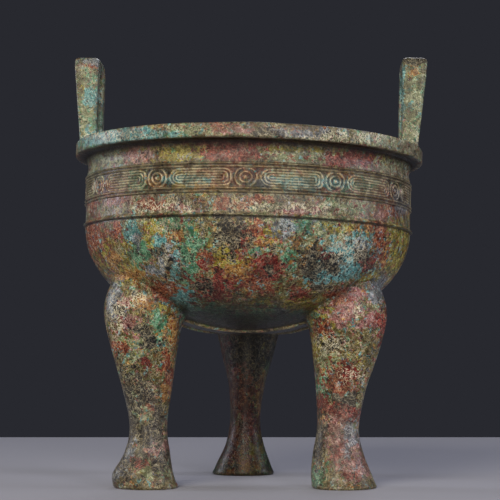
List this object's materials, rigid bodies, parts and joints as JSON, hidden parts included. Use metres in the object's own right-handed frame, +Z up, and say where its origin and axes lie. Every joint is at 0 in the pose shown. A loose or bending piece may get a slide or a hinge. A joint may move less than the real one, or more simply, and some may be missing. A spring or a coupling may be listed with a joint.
{
  "type": "bronze ding vessel",
  "caption": "Round-bellied cast bronze vessel on hoofed legs, with upright loop ears on a flat everted lip and a frieze of nested loops between string lines.",
  "frame": {"origin": "on the ground, below the centre of the box around the vessel", "axes": "+Z up; the ears stand at +X and -X, and the side seen in the picture, with two of the legs, faces -Y"},
  "size_m": [0.2132, 0.2084, 0.255],
  "materials": {
    "patinated_bronze": "cast bronze with a mottled chemical patina of verdigris, olive, rust and oxblood, waxed to a low sheen"
  },
  "bodies": {
    "root": {"ding_vessel": "patinated_bronze"}
  },
  "joints": []
}
